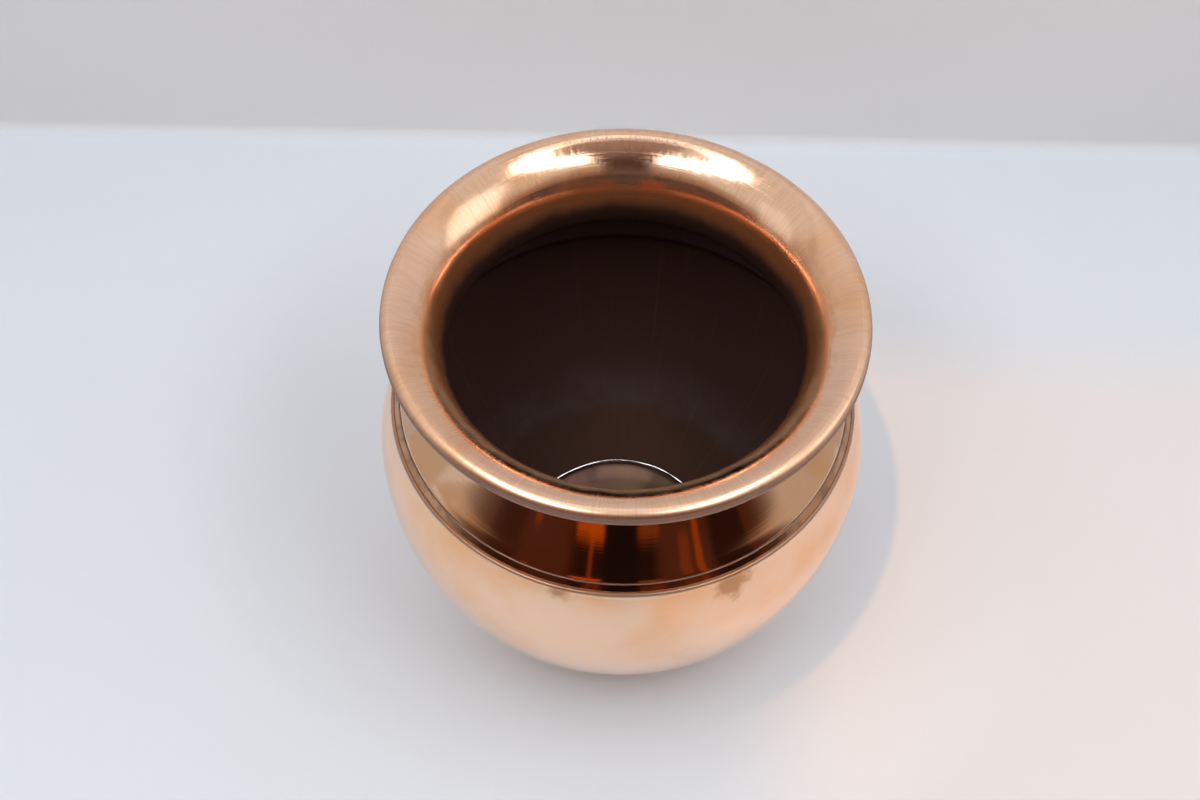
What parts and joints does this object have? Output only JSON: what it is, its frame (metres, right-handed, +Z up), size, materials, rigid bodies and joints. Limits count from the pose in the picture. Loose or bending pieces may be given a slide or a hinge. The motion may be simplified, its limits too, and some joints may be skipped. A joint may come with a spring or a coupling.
{
  "type": "lota",
  "caption": "Small round-bellied copper water pot with a concave neck, a wide flared mouth and a rolled lip, standing on a flat base, for holding and pouring water.",
  "frame": {"origin": "centre of the flat face that the pot stands on", "axes": "+Z up along the pot's axis of turning; X and Y are free, because the pot is round"},
  "size_m": [0.1072, 0.1072, 0.0991],
  "materials": {
    "polished_copper": "bright buffed copper outside and on the lip, dark brown tarnish inside",
    "steel_wire": "plain drawn steel, hidden inside the rolled lip",
    "copper_braze": "polished braze fillet",
    "heat_tinted_copper": "copper with a pink and brown heat tint",
    "silver_solder": "bright solder, slightly uneven"
  },
  "bodies": {
    "root": {"neck_collar": "polished_copper", "rim_wire": "steel_wire", "bowl": "polished_copper", "shoulder_braze": "copper_braze", "base_disc": "heat_tinted_copper", "base_solder": "silver_solder"}
  },
  "joints": []
}
